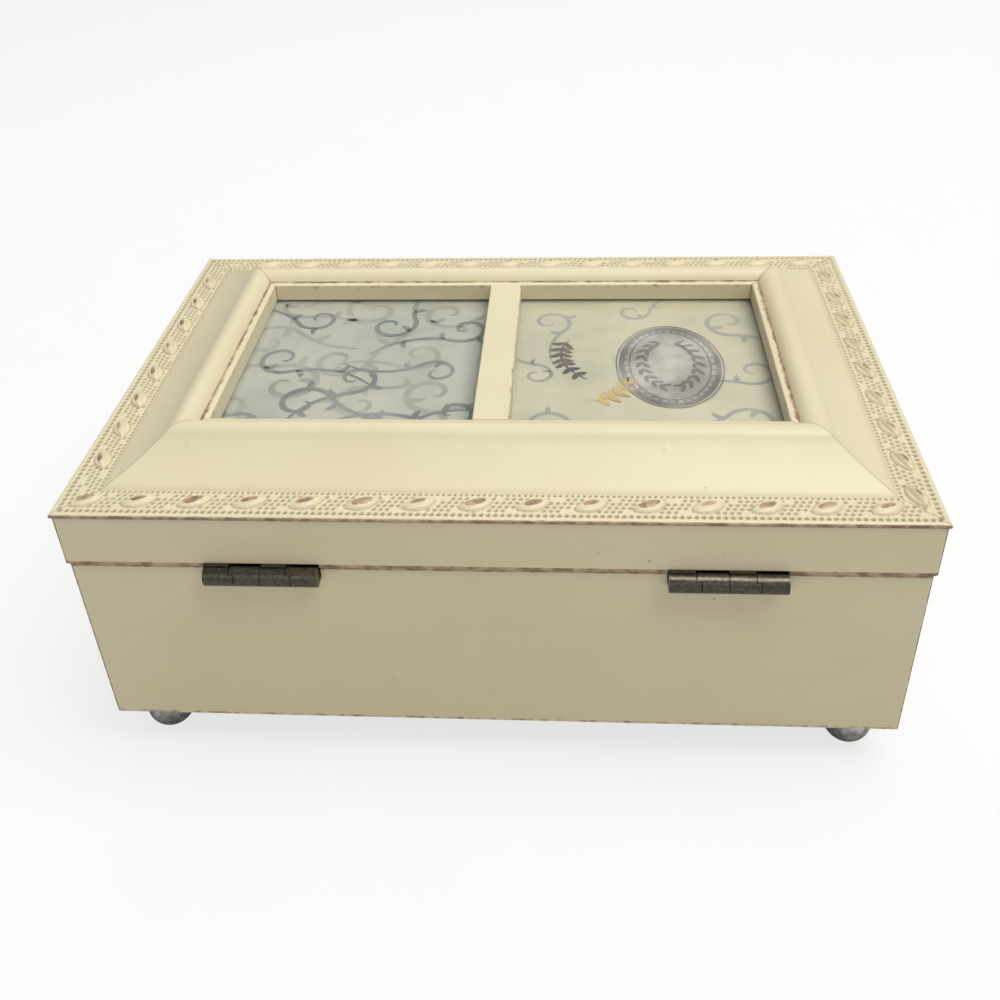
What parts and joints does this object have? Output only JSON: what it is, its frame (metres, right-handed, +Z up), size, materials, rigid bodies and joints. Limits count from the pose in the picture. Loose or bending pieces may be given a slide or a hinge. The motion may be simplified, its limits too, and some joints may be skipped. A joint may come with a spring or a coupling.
{
  "type": "music box",
  "caption": "Cream painted keepsake music box with a two-window picture-frame lid on stop hinges, ball feet and a wind-up cylinder movement in a covered bay.",
  "frame": {"origin": "on the floor below the middle of the outline", "axes": "+X along the long side to the right as seen from the front, +Y towards the hinges, +Z up"},
  "size_m": [0.203, 0.1331, 0.0893],
  "materials": {
    "case_paint": "satin cream paint, rubbed through on the edges",
    "raw_board": "bare fibreboard",
    "velvet": "short-pile velvet",
    "clear_glass": "clear float glass",
    "clear_plastic": "clear moulded acrylic sheet",
    "card_print": "printed card, matt",
    "hinge_metal": "antique dark plated brass",
    "foot_metal": "aged silver plate",
    "zinc": "die-cast, satin",
    "brass": "turned, bright",
    "steel": "ground",
    "spring_steel": "blued",
    "fan_plastic": "moulded",
    "felt": "pressed felt"
  },
  "bodies": {
    "case": {"case_front": "case_paint", "case_back": "case_paint", "case_left": "case_paint", "case_right": "case_paint", "bottom_panel": "raw_board", "corner_blocks": "raw_board", "divider": "raw_board", "cleat_front": "raw_board", "cleat_back": "raw_board", "lining_floor": "velvet", "lining_front": "velvet", "lining_back": "velvet", "lining_left": "velvet", "lining_divider": "velvet", "movement_cover": "clear_plastic", "hinge_left_case_leaf": "hinge_metal", "hinge_left_pin": "hinge_metal", "hinge_right_case_leaf": "hinge_metal", "hinge_right_pin": "hinge_metal", "hinge_screws_case": "hinge_metal", "foot_front_left": "foot_metal", "foot_front_right": "foot_metal", "foot_back_left": "foot_metal", "foot_back_right": "foot_metal", "bedplate": "zinc", "governor_frame": "brass", "arbor_clutch": "brass", "comb": "steel", "comb_screws": "steel", "movement_screws": "steel"},
    "lid": {"lid_front": "case_paint", "lid_back": "case_paint", "lid_left": "case_paint", "lid_right": "case_paint", "moulding_front": "case_paint", "moulding_back": "case_paint", "moulding_left": "case_paint", "moulding_right": "case_paint", "mullion": "case_paint", "glass": "clear_glass", "picture_card_left": "card_print", "picture_card_right": "card_print", "backing_board": "raw_board", "lid_lining": "velvet", "hinge_left_lid_leaf": "hinge_metal", "hinge_right_lid_leaf": "hinge_metal", "hinge_screws_lid": "hinge_metal"},
    "key": {"winding_key": "steel", "winding_arbor": "steel"},
    "barrel": {"spring_barrel": "brass", "mainspring": "spring_steel"},
    "cylinder": {"music_cylinder": "brass", "cylinder_axle": "steel", "cylinder_pinion": "brass", "cylinder_gear": "brass"},
    "second": {"second_wheel": "brass"},
    "governor": {"governor_worm": "steel", "governor_fan": "fan_plastic"},
    "stop": {"stop_rod": "steel", "stop_pad": "felt"}
  },
  "joints": [
    {"name": "lid_hinge", "type": "hinge", "parent": "case", "child": "lid", "pos_m": [0, 0.06405, 0.0634], "axis": [-1, 0, 0], "range_deg": [0, 95]},
    {"name": "key_turn", "type": "hinge", "parent": "case", "child": "key", "pos_m": [0.051, 0.01445, 0], "axis": [0, 0, 1], "continuous": true},
    {"name": "cylinder_spin", "type": "hinge", "parent": "case", "child": "cylinder", "pos_m": [0, 0.01445, 0.0381], "axis": [1, 0, 0], "continuous": true},
    {"name": "barrel_spin", "type": "hinge", "parent": "case", "child": "barrel", "pos_m": [0.051, 0.01445, 0], "axis": [0, 0, 1], "continuous": true},
    {"name": "second_spin", "type": "hinge", "parent": "case", "child": "second", "pos_m": [0, 0.02405, 0.0381], "axis": [1, 0, 0], "continuous": true},
    {"name": "governor_spin", "type": "hinge", "parent": "case", "child": "governor", "pos_m": [0.0852, 0.03055, 0], "axis": [0, 0, 1], "continuous": true},
    {"name": "stop_lift", "type": "slide", "parent": "case", "child": "stop", "axis": [0, 0, 1], "range_m": [0, 0.0025]}
  ],
  "couplings": [
    {"joint": "barrel_spin", "follows": "cylinder_spin", "ratio": 0.42857},
    {"joint": "second_spin", "follows": "cylinder_spin", "ratio": -3},
    {"joint": "governor_spin", "follows": "cylinder_spin", "ratio": 72},
    {"joint": "stop_lift", "follows": "lid_hinge", "m_per_rad": 0.0015063}
  ]
}
